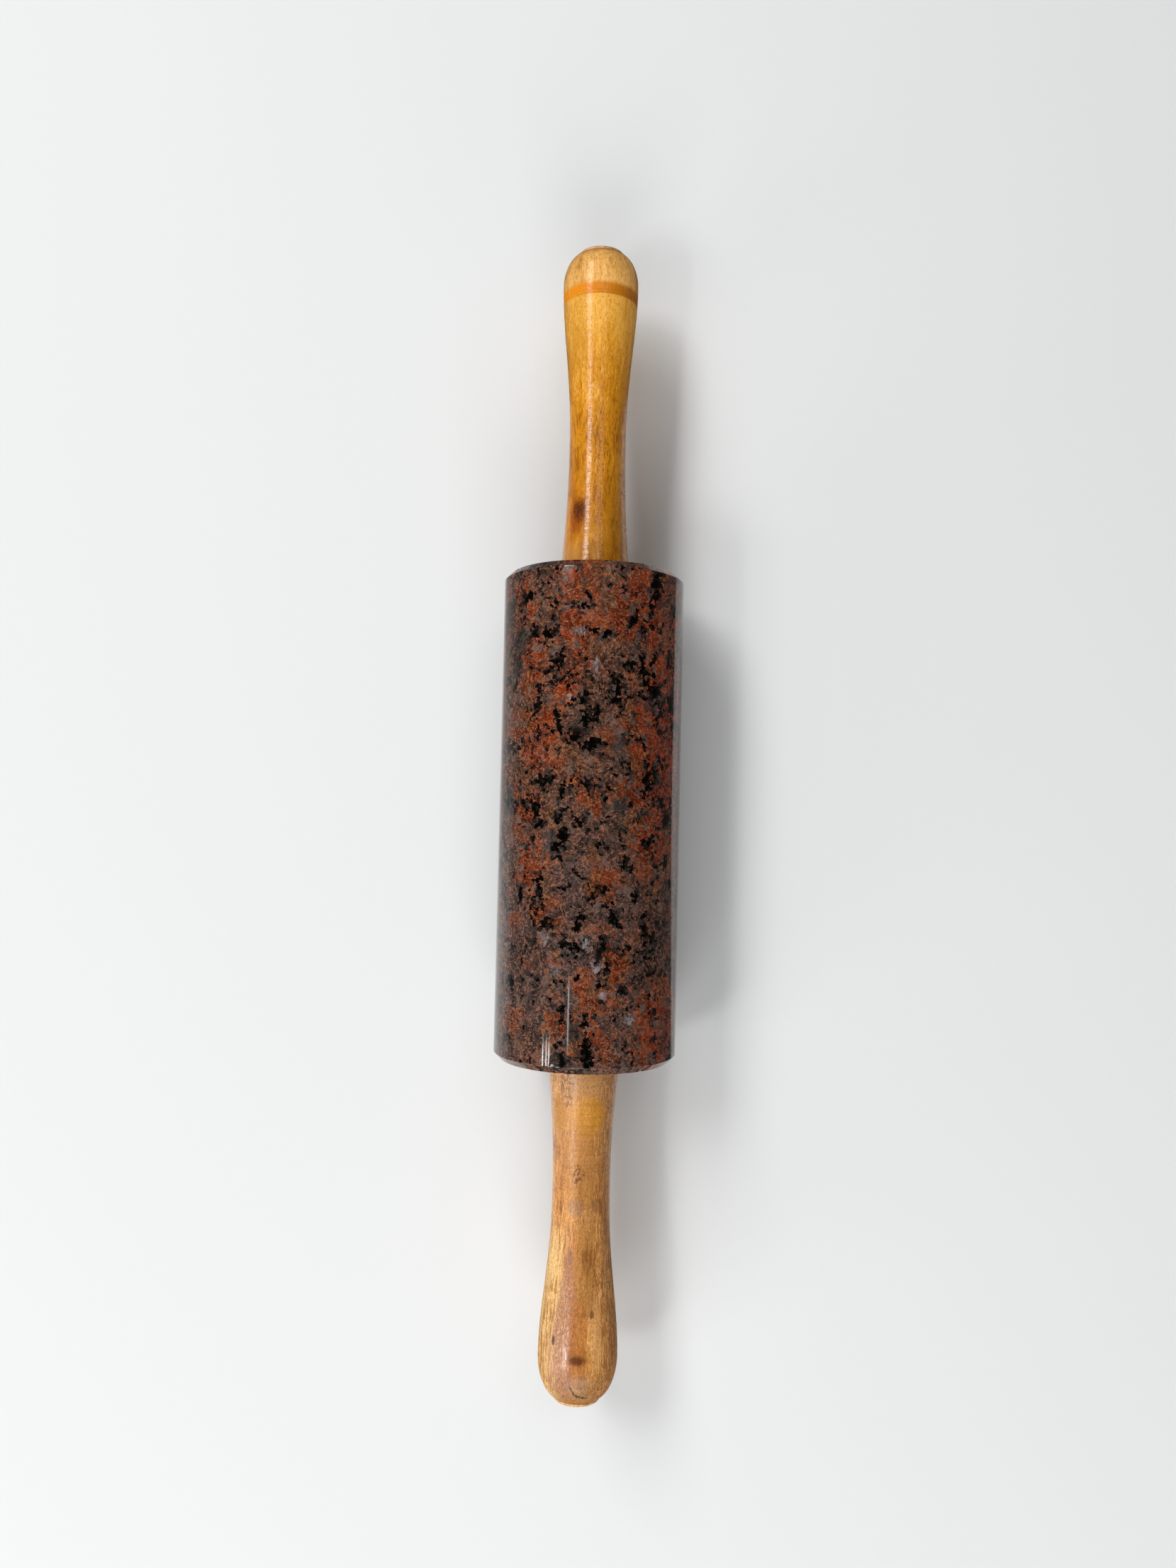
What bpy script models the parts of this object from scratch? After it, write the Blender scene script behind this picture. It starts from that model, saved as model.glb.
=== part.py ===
"""Granite rolling pin: a stone barrel that turns on a steel axle with a wooden handle at each end.

The pin lies along Y on the plane Z = 0. Its front end points to -Y and its rear end to +Y, and the origin
is on that plane under the middle of the barrel. Everything is in metres.
"""

import math

import bmesh
import bpy
from mathutils import Vector

# Clearances: what is seated or clamped together, and what turns or floats
SEAT_GAP = 0.0003
RUNNING_GAP = 0.0003
END_FLOAT = 0.0003

# Granite barrel
BARREL_LENGTH = 0.160
BARREL_RADIUS = 0.030
BARREL_BEVEL = 0.0022
BARREL_BORE_RADIUS = 0.0083

# Nylon bushes in the ends of the bore
BUSH_LENGTH = 0.024
BUSH_FLANGE_RADIUS = 0.0105
BUSH_FLANGE_THICKNESS = 0.0024
BUSH_FLANGE_STANDOUT = 0.0008

# Steel axle: its thick middle turns in the bushes, and its thin ends hold the handles
AXLE_RADIUS = 0.005
AXLE_END_RADIUS = 0.003
AXLE_PAST_NUT = 0.0015
AXLE_TIP_BEVEL = 0.0005

# Washers and lock nuts
THRUST_WASHER_RADIUS = 0.010
THRUST_WASHER_THICKNESS = 0.001
NUT_WASHER_RADIUS = 0.006
NUT_WASHER_THICKNESS = 0.0016
NUT_ACROSS_FLATS = 0.010
NUT_HEX_HEIGHT = 0.0044
NUT_COLLAR_HEIGHT = 0.0016
NUT_COLLAR_RADIUS = 0.0043
NUT_BEVEL = 0.0005

# Wooden handles: sizes that both share, measured along the handle from its root
HANDLE_LENGTH = 0.1066
HANDLE_COUNTERBORE_RADIUS = 0.007
HANDLE_COUNTERBORE_DEPTH = 0.026
NECK_POWER = 2.0
SWELL_POWER = 1.25
DOME_POWER = 1.85
DOME_ROOT = 1.6

# Wooden handles: sizes of each, because the two were turned by hand
HANDLE_SHAPES = {
    "front": {
        "root_radius": 0.0118,
        "waist_place": 0.0384,
        "waist_radius": 0.0095,
        "bulb_place": 0.0946,
        "bulb_radius": 0.0131,
        "end_radius": 0.0080,
    },
    "rear": {
        "root_radius": 0.0115,
        "waist_place": 0.0412,
        "waist_radius": 0.0095,
        "bulb_place": 0.0971,
        "bulb_radius": 0.0127,
        "end_radius": 0.0082,
    },
}

# Wooden plugs over the nuts
PLUG_HEAD_RADIUS = 0.0077
PLUG_HEAD_HEIGHT = 0.0012
PLUG_HEAD_ROUND = 0.0008
PLUG_SHANK_LENGTH = 0.010

# Facets round each turned piece, and stations along the curves of a handle
BARREL_FACETS = 64
HANDLE_FACETS = 40
FITTING_FACETS = 32
NECK_STATIONS = 5
SWELL_STATIONS = 9
DOME_STATIONS = 7
ROUND_STATIONS = 3

# Places worked out from the sizes, as distances along the axis from the middle of the barrel
AXIS_HEIGHT = BARREL_RADIUS
BARREL_END = BARREL_LENGTH / 2
FLANGE_FACE = BARREL_END + BUSH_FLANGE_STANDOUT
SHOULDER = FLANGE_FACE + END_FLOAT - SEAT_GAP
THRUST_WASHER_START = SHOULDER + SEAT_GAP
HANDLE_ROOT = THRUST_WASHER_START + THRUST_WASHER_THICKNESS + SEAT_GAP
HANDLE_END = HANDLE_ROOT + HANDLE_LENGTH
COUNTERBORE_FLOOR = HANDLE_END - HANDLE_COUNTERBORE_DEPTH
NUT_WASHER_START = COUNTERBORE_FLOOR + SEAT_GAP
NUT_START = NUT_WASHER_START + NUT_WASHER_THICKNESS + SEAT_GAP
NUT_HEIGHT = NUT_HEX_HEIGHT + NUT_COLLAR_HEIGHT
AXLE_TIP = NUT_START + NUT_HEIGHT + AXLE_PAST_NUT
PLUG_HEAD_START = HANDLE_END + SEAT_GAP

# Radii of what fits round or inside another piece
BUSH_RADIUS = BARREL_BORE_RADIUS - SEAT_GAP
BUSH_BORE_RADIUS = AXLE_RADIUS + RUNNING_GAP
FLANGE_SEAT_RADIUS = BUSH_FLANGE_RADIUS + SEAT_GAP
FLANGE_SEAT_DEPTH = BUSH_FLANGE_THICKNESS - BUSH_FLANGE_STANDOUT + SEAT_GAP
AXLE_END_HOLE_RADIUS = AXLE_END_RADIUS + SEAT_GAP
PLUG_SHANK_RADIUS = HANDLE_COUNTERBORE_RADIUS - SEAT_GAP

ENDS = {"front": -1, "rear": 1}
MERGE_DISTANCE = 1e-6


def clear_scene():
    """Remove whatever objects the open file holds."""
    for thing in list(bpy.data.objects):
        bpy.data.objects.remove(thing, do_unlink=True)


def finish(name, colour, roughness, metallic=0.0):
    """A Principled material of one colour."""
    material = bpy.data.materials.new(name)
    material.use_nodes = True
    shader = material.node_tree.nodes["Principled BSDF"]
    shader.inputs["Base Color"].default_value = (*colour, 1.0)
    shader.inputs["Roughness"].default_value = roughness
    shader.inputs["Metallic"].default_value = metallic
    material.diffuse_color = (*colour, 1.0)
    return material


def pivot(name):
    """An empty on the axis, which carries the pieces that turn together."""
    empty = bpy.data.objects.new(name, None)
    empty.location = (0.0, 0.0, AXIS_HEIGHT)
    bpy.context.scene.collection.objects.link(empty)
    return empty


def turned_mesh(name, outline, facets, side):
    """Spin an outline of (distance along the axis, radius) points about the Y axis.

    The outline is a closed loop, or runs from axis to axis. The flats of the facets lie at the outline's
    radii, with one flat facing straight down. Side is -1 for the front end and 1 for the rear end.
    """
    half_facet = math.pi / facets
    corner = 1.0 / math.cos(half_facet)
    start = Vector((math.sin(half_facet), 0.0, -math.cos(half_facet)))
    bm = bmesh.new()
    points = [bm.verts.new(Vector((0.0, side * along, 0.0)) + start * radius * corner) for along, radius in outline]
    edges = [bm.edges.new(pair) for pair in zip(points, points[1:])]
    if outline[0][1] > 0.0:
        edges.append(bm.edges.new((points[-1], points[0])))
    bmesh.ops.spin(
        bm,
        geom=points + edges,
        cent=(0.0, 0.0, 0.0),
        axis=(0.0, 1.0, 0.0),
        angle=2.0 * math.pi,
        steps=facets,
        use_merge=True,
    )
    bmesh.ops.remove_doubles(bm, verts=bm.verts, dist=MERGE_DISTANCE)
    bmesh.ops.recalc_face_normals(bm, faces=bm.faces)
    mesh = bpy.data.meshes.new(name)
    bm.to_mesh(mesh)
    bm.free()
    mesh.shade_smooth()
    mesh.set_sharp_from_angle(angle=math.radians(30.0))
    return mesh


def turned(name, outline, facets, material, parent, side=1):
    """A turned piece on the axis of its parent."""
    mesh = turned_mesh(name, outline, facets, side)
    mesh.materials.append(material)
    piece = bpy.data.objects.new(name, mesh)
    piece.parent = parent
    bpy.context.scene.collection.objects.link(piece)
    return piece


def rounded_corner(along, radius, size, stations):
    """Quarter round from the side of a turned piece to its flat outer end, as outline points.

    Along is where the flat end lies and radius is that of the side. The point at a share t of the turn is
    size * (1 - sin t) short of the end and size * (1 - cos t) inside the radius.
    """
    turns = [math.pi / 2 * step / stations for step in range(stations + 1)]
    return [(along - size * (1 - math.sin(t)), radius - size * (1 - math.cos(t))) for t in turns]


def handle_outline(shape):
    """Outer outline of a handle from root to end: a neck, a swell and a dome.

    The neck falls from the root to the waist as a power of the distance left. The swell rises from the
    waist to the bulb as half a cosine wave. The dome falls from the bulb to the end as a superellipse.
    """
    waist, waist_radius = shape["waist_place"], shape["waist_radius"]
    bulb, bulb_radius = shape["bulb_place"], shape["bulb_radius"]
    points = []
    for step in range(NECK_STATIONS):
        share = step / NECK_STATIONS
        rise = (shape["root_radius"] - waist_radius) * (1 - share) ** NECK_POWER
        points.append((waist * share, waist_radius + rise))
    for step in range(SWELL_STATIONS):
        share = step / SWELL_STATIONS
        rise = (bulb_radius - waist_radius) * (0.5 - 0.5 * math.cos(math.pi * share ** SWELL_POWER))
        points.append((waist + (bulb - waist) * share, waist_radius + rise))
    for step in range(DOME_STATIONS + 1):
        share = math.sin(math.pi / 2 * step / DOME_STATIONS)
        rise = (bulb_radius - shape["end_radius"]) * (1 - share ** DOME_POWER) ** (1 / DOME_ROOT)
        points.append((bulb + (HANDLE_LENGTH - bulb) * share, shape["end_radius"] + rise))
    return [(HANDLE_ROOT + along, radius) for along, radius in points]


def make_barrel(material, parent):
    """The granite cylinder: bevelled ends, a through bore and a shallow seat for each bush's flange."""
    seat_floor = BARREL_END - FLANGE_SEAT_DEPTH
    half = [
        (seat_floor, BARREL_BORE_RADIUS),
        (seat_floor, FLANGE_SEAT_RADIUS),
        (BARREL_END, FLANGE_SEAT_RADIUS),
        (BARREL_END, BARREL_RADIUS - BARREL_BEVEL),
        (BARREL_END - BARREL_BEVEL, BARREL_RADIUS),
    ]
    outline = half + [(-along, radius) for along, radius in reversed(half)]
    turned("granite_barrel", outline, BARREL_FACETS, material, parent)


def make_bush(end, material, parent):
    """A flanged sleeve pressed into one end of the barrel's bore."""
    flange_back = FLANGE_FACE - BUSH_FLANGE_THICKNESS
    outline = [
        (BARREL_END - BUSH_LENGTH, BUSH_BORE_RADIUS),
        (BARREL_END - BUSH_LENGTH, BUSH_RADIUS),
        (flange_back, BUSH_RADIUS),
        (flange_back, BUSH_FLANGE_RADIUS),
        (FLANGE_FACE, BUSH_FLANGE_RADIUS),
        (FLANGE_FACE, BUSH_BORE_RADIUS),
    ]
    turned(end + "_bush", outline, FITTING_FACETS, material, parent, ENDS[end])


def make_axle(material, parent):
    """The rod: a thick middle between two square shoulders, and a thin end through each handle."""
    half = [
        (SHOULDER, AXLE_RADIUS),
        (SHOULDER, AXLE_END_RADIUS),
        (AXLE_TIP - AXLE_TIP_BEVEL, AXLE_END_RADIUS),
        (AXLE_TIP, AXLE_END_RADIUS - AXLE_TIP_BEVEL),
        (AXLE_TIP, 0.0),
    ]
    outline = [(-along, radius) for along, radius in reversed(half)] + half
    turned("axle_rod", outline, FITTING_FACETS, material, parent)


def make_washer(name, start, thickness, radius, material, parent, side):
    """A flat washer round the thin end of the axle."""
    outline = [
        (start, AXLE_END_HOLE_RADIUS),
        (start, radius),
        (start + thickness, radius),
        (start + thickness, AXLE_END_HOLE_RADIUS),
    ]
    turned(name, outline, FITTING_FACETS, material, parent, side)


def make_handle(end, material, parent):
    """A turned handle with a hole for the axle, and a wide counterbore for the nut and the plug."""
    outline = [
        *handle_outline(HANDLE_SHAPES[end]),
        (HANDLE_END, HANDLE_COUNTERBORE_RADIUS),
        (COUNTERBORE_FLOOR, HANDLE_COUNTERBORE_RADIUS),
        (COUNTERBORE_FLOOR, AXLE_END_HOLE_RADIUS),
        (HANDLE_ROOT, AXLE_END_HOLE_RADIUS),
    ]
    turned(end + "_handle", outline, HANDLE_FACETS, material, parent, ENDS[end])


def make_nut(end, material, parent):
    """A lock nut: a hexagonal bar cut down to a bevelled, bored blank with a round collar."""
    corner_radius = NUT_ACROSS_FLATS / 2 / math.cos(math.pi / 6)
    hex_end = NUT_START + NUT_HEX_HEIGHT
    nut_end = NUT_START + NUT_HEIGHT
    blank = [
        (NUT_START, AXLE_END_HOLE_RADIUS),
        (NUT_START, corner_radius - NUT_BEVEL),
        (NUT_START + NUT_BEVEL, corner_radius),
        (hex_end - NUT_BEVEL, corner_radius),
        (hex_end, corner_radius - NUT_BEVEL),
        (hex_end, NUT_COLLAR_RADIUS),
        (nut_end - NUT_BEVEL, NUT_COLLAR_RADIUS),
        (nut_end, NUT_COLLAR_RADIUS - NUT_BEVEL),
        (nut_end, AXLE_END_HOLE_RADIUS),
    ]
    cutter = turned(end + "_nut_blank", blank, FITTING_FACETS, material, parent, ENDS[end])
    cutter.hide_render = True
    cutter.display_type = "WIRE"

    bar = [
        (NUT_START - NUT_BEVEL, 0.0),
        (NUT_START - NUT_BEVEL, NUT_ACROSS_FLATS / 2),
        (nut_end + NUT_BEVEL, NUT_ACROSS_FLATS / 2),
        (nut_end + NUT_BEVEL, 0.0),
    ]
    nut = turned(end + "_lock_nut", bar, 6, material, parent, ENDS[end])
    cut = nut.modifiers.new("blank", "BOOLEAN")
    cut.operation = "INTERSECT"
    cut.object = cutter


def make_plug(end, material, parent):
    """A wooden plug: a shank in the counterbore and a low round head over the handle's end."""
    head_end = PLUG_HEAD_START + PLUG_HEAD_HEIGHT
    shank_start = PLUG_HEAD_START - PLUG_SHANK_LENGTH
    outline = [
        (shank_start, 0.0),
        (shank_start, PLUG_SHANK_RADIUS),
        (PLUG_HEAD_START, PLUG_SHANK_RADIUS),
        (PLUG_HEAD_START, PLUG_HEAD_RADIUS),
        *rounded_corner(head_end, PLUG_HEAD_RADIUS, PLUG_HEAD_ROUND, ROUND_STATIONS),
        (head_end, 0.0),
    ]
    turned(end + "_end_plug", outline, FITTING_FACETS, material, parent, ENDS[end])


def build():
    """Make every piece. The barrel and its bushes turn round the axle, which carries all the rest."""
    clear_scene()
    granite = finish("granite", (0.21, 0.075, 0.048), 0.12)
    amber_wood = finish("amber_wood", (0.56, 0.27, 0.07), 0.25)
    tan_wood = finish("tan_wood", (0.55, 0.29, 0.13), 0.38)
    plug_wood = finish("plug_wood", (0.68, 0.40, 0.20), 0.4)
    nylon = finish("nylon", (0.80, 0.78, 0.72), 0.45)
    steel = finish("steel", (0.58, 0.58, 0.56), 0.3, 1.0)

    barrel_pivot = pivot("barrel_pivot")
    axle_pivot = pivot("axle_pivot")
    make_barrel(granite, barrel_pivot)
    make_axle(steel, axle_pivot)
    handle_woods = {"front": tan_wood, "rear": amber_wood}
    for end, side in ENDS.items():
        make_bush(end, nylon, barrel_pivot)
        make_washer(
            end + "_thrust_washer",
            THRUST_WASHER_START,
            THRUST_WASHER_THICKNESS,
            THRUST_WASHER_RADIUS,
            steel,
            axle_pivot,
            side,
        )
        make_handle(end, handle_woods[end], axle_pivot)
        make_washer(
            end + "_nut_washer",
            NUT_WASHER_START,
            NUT_WASHER_THICKNESS,
            NUT_WASHER_RADIUS,
            steel,
            axle_pivot,
            side,
        )
        make_nut(end, steel, axle_pivot)
        make_plug(end, plug_wood, axle_pivot)


build()
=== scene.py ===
"""A granite rolling pin with turned wooden handles, lying on a pale floor.

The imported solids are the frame. Fine surfaces turned about the same axis stand for the barrel, the
handles, the end plugs, the bushes and the thrust washers. The axle, the nuts and the nut washers, which
are hidden inside, stay as solids and get a material. The pin lies along Y with its axis at the barrel's
radius above the floor and its front end to -Y. Shapes are in metres, and materials work in millimetres
and degrees.
"""
import math

import bpy
import numpy as np
from mathutils import Matrix, Vector


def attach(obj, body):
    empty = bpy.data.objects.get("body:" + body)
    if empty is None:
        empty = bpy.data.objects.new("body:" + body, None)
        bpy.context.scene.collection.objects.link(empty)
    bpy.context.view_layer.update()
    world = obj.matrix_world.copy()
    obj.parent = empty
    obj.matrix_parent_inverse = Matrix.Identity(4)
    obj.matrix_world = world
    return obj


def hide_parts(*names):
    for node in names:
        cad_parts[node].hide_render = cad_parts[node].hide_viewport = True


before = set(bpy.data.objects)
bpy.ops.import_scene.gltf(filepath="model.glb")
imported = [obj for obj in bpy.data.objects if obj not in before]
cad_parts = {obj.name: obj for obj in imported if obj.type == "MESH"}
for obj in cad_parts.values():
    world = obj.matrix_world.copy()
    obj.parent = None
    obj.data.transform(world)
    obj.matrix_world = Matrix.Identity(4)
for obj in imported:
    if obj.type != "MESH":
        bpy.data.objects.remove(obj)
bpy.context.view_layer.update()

# Sizes shared with the solids: places along the axis from the barrel's middle, lengths and radii
AXIS_HEIGHT = 0.030
BARREL_RADIUS = 0.030
BARREL_END = 0.080
BARREL_BEVEL = 0.0022
BARREL_BORE = 0.0083
FLANGE_SEAT_RADIUS = 0.0108
FLANGE_SEAT_DEPTH = 0.0019
BUSH_START = 0.0560
BUSH_FLANGE_START = 0.0784
BUSH_END = 0.0808
BUSH_BORE = 0.0053
BUSH_SHANK_RADIUS = 0.0080
BUSH_FLANGE_RADIUS = 0.0105
WASHER_START = 0.0811
WASHER_END = 0.0821
WASHER_RADIUS = 0.0100
HANDLE_ROOT = 0.0824
HANDLE_LENGTH = 0.1066
HANDLE_END = HANDLE_ROOT + HANDLE_LENGTH
AXLE_HOLE = 0.0033
COUNTERBORE_DEPTH = 0.026
COUNTERBORE_RADIUS = 0.007
PLUG_HEAD_START = HANDLE_END + 0.0003
PLUG_HEAD_RADIUS = 0.0077
PLUG_HEAD_HEIGHT = 0.0012
PLUG_SHANK_RADIUS = 0.0067
PLUG_SHANK_LENGTH = 0.010

# Each handle's radii, and how far from its root its waist and the widest place of its bulb are
HANDLES = {
    "front": {
        "root": 0.0118,
        "waist_at": 0.0384,
        "waist": 0.0095,
        "bulb_at": 0.0946,
        "bulb": 0.0131,
        "end": 0.0080,
    },
    "rear": {
        "root": 0.0115,
        "waist_at": 0.0412,
        "waist": 0.0095,
        "bulb_at": 0.0971,
        "bulb": 0.0127,
        "end": 0.0082,
    },
}
NECK_POWER = 2.0
SWELL_POWER = 1.25
DOME_POWER = 1.85
DOME_ROOT = 1.6

# Which way along Y each end lies, and how finely the surfaces are cut
WAY_TO = {"front": -1, "rear": 1}
BARREL_SIDES = 360
HANDLE_SIDES = 192
SMALL_SIDES = 128
HANDLE_STEPS = 213
CLOSING_STEPS = 8
SHARP_ANGLE = 35.0

MM_PER_METRE = 1000.0
RADIUS_MM = BARREL_RADIUS * MM_PER_METRE
ROOT_MM = HANDLE_ROOT * MM_PER_METRE
HALF = (0.5, 0.5, 0.5)
BACKGROUND = (0.97, 0.985, 1.0)
BACKGROUND_LEVEL = 0.85
LAMP_DISTANCE = 2.0


def arc(along, radius, size, start, turn, steps):
    """Outline points on an arc about (along, radius), from the angle start round by turn, in degrees.

    A point lies at along + size * cos(angle) and radius + size * sin(angle), so 0 is outwards along the
    axis.
    """
    angles = np.radians(start + turn * np.arange(steps + 1) / steps)
    return np.stack([along + size * np.cos(angles), radius + size * np.sin(angles)], axis=-1).tolist()


def turned_surface(name, outline, around, way=1, nudge=None):
    """A surface turned about the axis from an outline of (along, radius) points.

    The point of the outline at the turn t lies at x = radius * sin t, y = way * along and z = axis height
    + radius * cos t. The outline is a closed loop, or starts and ends on the axis, and runs so that the
    normals point outwards. A nudge moves the points along and out before they are turned.
    """
    outline = np.array(outline, float)
    poles = outline[0, 1] == 0.0
    rings = outline[1:-1] if poles else outline
    turns = np.linspace(0.0, 2.0 * np.pi, around, endpoint=False)
    along = np.repeat(rings[:, :1], around, axis=1)
    radius = np.repeat(rings[:, 1:], around, axis=1)
    if nudge is not None:
        along, radius = nudge(along, radius, turns)
    x = radius * np.sin(turns)
    z = AXIS_HEIGHT + radius * np.cos(turns)
    points = np.stack([x, way * along, z], axis=-1).reshape(-1, 3)
    here = np.arange(around)
    after = (here + 1) % around
    ring = np.arange(len(rings) - 1 if poles else len(rings))[:, None]
    beyond = (ring + 1) % len(rings)
    near_ring, far_ring = ring * around, beyond * around
    corners = [near_ring + here, far_ring + here, far_ring + after, near_ring + after]
    faces = np.stack(corners, axis=-1).reshape(-1, 4)[:, ::-way].tolist()
    if poles:
        first, last = len(points), len(points) + 1
        ends = [(0.0, way * outline[at, 0], AXIS_HEIGHT) for at in (0, -1)]
        points = np.concatenate([points, np.array(ends)])
        base = (len(rings) - 1) * around
        faces += np.stack([here, after, np.full(around, first)], axis=-1)[:, ::-way].tolist()
        faces += np.stack([base + after, base + here, np.full(around, last)], axis=-1)[:, ::-way].tolist()
    mesh = bpy.data.meshes.new(name)
    mesh.from_pydata(points.tolist(), [], faces)
    mesh.update()
    mesh.shade_smooth()
    mesh.set_sharp_from_angle(angle=math.radians(SHARP_ANGLE))
    piece = bpy.data.objects.new(name, mesh)
    bpy.context.scene.collection.objects.link(piece)
    return piece


def waviness(points, length, seed):
    """Smooth random relief at an array of points, mostly between -1.5 and 1.5.

    It is the sum of twelve sines over 4. Each sine runs its own random way, with a random start and a
    wave of 0.7 to 1.5 times the length.
    """
    waves = 12
    random = np.random.default_rng(seed)
    ways = random.normal(size=(waves, 3))
    ways = ways / np.linalg.norm(ways, axis=1, keepdims=True)
    ways = ways / (length * random.uniform(0.7, 1.5, (waves, 1)))
    return np.sin(2.0 * np.pi * (points @ ways.T + random.uniform(0.0, 1.0, waves))).sum(axis=-1) / 4.0


def handle_radius(shape, along):
    """Radii of a handle at distances from its root, as in the solids: waist + neck + swell - dome.

    The neck is what the root has over the waist, times a power of 1 less the way to the waist. The swell
    is what the bulb has over the waist, times half a cosine wave over a power of the way from waist to
    bulb. The dome is what the bulb has over the end, times 1 less a root of 1 less a power of the way
    from bulb to end. Each way runs from 0 to 1 and stays at 1.
    """
    to_waist = np.clip(along / shape["waist_at"], 0.0, 1.0)
    to_bulb = np.clip((along - shape["waist_at"]) / (shape["bulb_at"] - shape["waist_at"]), 0.0, 1.0)
    to_end = np.clip((along - shape["bulb_at"]) / (HANDLE_LENGTH - shape["bulb_at"]), 0.0, 1.0)
    neck = (shape["root"] - shape["waist"]) * (1.0 - to_waist) ** NECK_POWER
    swell = (shape["bulb"] - shape["waist"]) * (0.5 - 0.5 * np.cos(np.pi * to_bulb ** SWELL_POWER))
    dome = (shape["bulb"] - shape["end"]) * (1.0 - (1.0 - to_end ** DOME_POWER) ** (1.0 / DOME_ROOT))
    return shape["waist"] + neck + swell - dome


class Term:
    """A number, vector or colour in a node tree, written with ordinary operators."""

    def __init__(self, nodes, socket):
        self.nodes = nodes
        self.socket = socket
        self.wide = socket.type in {"VECTOR", "RGBA"}

    def maths(self, operation, other, swapped=False):
        """A Math node, or a Vector Math node where either side is a vector or colour."""
        first, second = (other, self) if swapped else (self, other)
        wide = self.wide or isinstance(other, tuple) or getattr(other, "wide", False)
        kind = "ShaderNodeVectorMath" if wide else "ShaderNodeMath"
        if wide:
            first, second = [(v, v, v) if isinstance(v, (int, float)) else v for v in (first, second)]
        return self.nodes.node(kind, {"operation": operation}, {0: first, 1: second})

    def __add__(self, other):
        return self.maths("ADD", other)

    def __radd__(self, other):
        return self.maths("ADD", other, True)

    def __sub__(self, other):
        return self.maths("SUBTRACT", other)

    def __rsub__(self, other):
        return self.maths("SUBTRACT", other, True)

    def __mul__(self, other):
        return self.maths("MULTIPLY", other)

    def __rmul__(self, other):
        return self.maths("MULTIPLY", other, True)

    def __truediv__(self, other):
        return self.maths("DIVIDE", other)

    def __pow__(self, other):
        return self.maths("POWER", other)

    def lower(self, other):
        """The lower of two values."""
        return self.maths("MINIMUM", other)

    def higher(self, other):
        """The higher of two values."""
        return self.maths("MAXIMUM", other)

    def size(self):
        """A vector's length."""
        return self.nodes.node("ShaderNodeVectorMath", {"operation": "LENGTH"}, {0: self}, "Value")

    def dot(self, other):
        settings = {"operation": "DOT_PRODUCT"}
        return self.nodes.node("ShaderNodeVectorMath", settings, {0: self, 1: other}, "Value")

    def unit(self):
        """The vector at a length of 1."""
        return self.nodes.node("ShaderNodeVectorMath", {"operation": "NORMALIZE"}, {0: self})

    def parts(self):
        """The three numbers of a vector."""
        split = self.nodes.make("ShaderNodeSeparateXYZ", {}, {0: self})
        return [Term(self.nodes, split.outputs[i]) for i in range(3)]

    def step(self, low, high):
        """0 below low and 1 above high, with a soft passage between; high may be the smaller one."""
        first, last = (0.0, 1.0) if low < high else (1.0, 0.0)
        return self.nodes.node(
            "ShaderNodeMapRange",
            {"interpolation_type": "SMOOTHSTEP"},
            {0: self, 1: min(low, high), 2: max(low, high), 3: first, 4: last},
        )


class Nodes:
    """A node tree that terms are written in."""

    def __init__(self, tree):
        self.tree = tree

    def make(self, kind, settings, inputs):
        """A node with its settings set first and then its inputs."""
        made = self.tree.nodes.new(kind)
        for key, value in settings.items():
            setattr(made, key, value)
        for key, value in inputs.items():
            self.feed(made.inputs[key], value)
        return made

    def feed(self, socket, value):
        """Link a term to a socket, or set a constant on it."""
        if isinstance(value, Term):
            self.tree.links.new(value.socket, socket)
        elif isinstance(value, tuple) and socket.type == "RGBA":
            socket.default_value = (*value, 1.0)
        else:
            socket.default_value = value

    def node(self, kind, settings, inputs, output=0):
        """The chosen output of a new node."""
        return Term(self, self.make(kind, settings, inputs).outputs[output])


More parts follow.
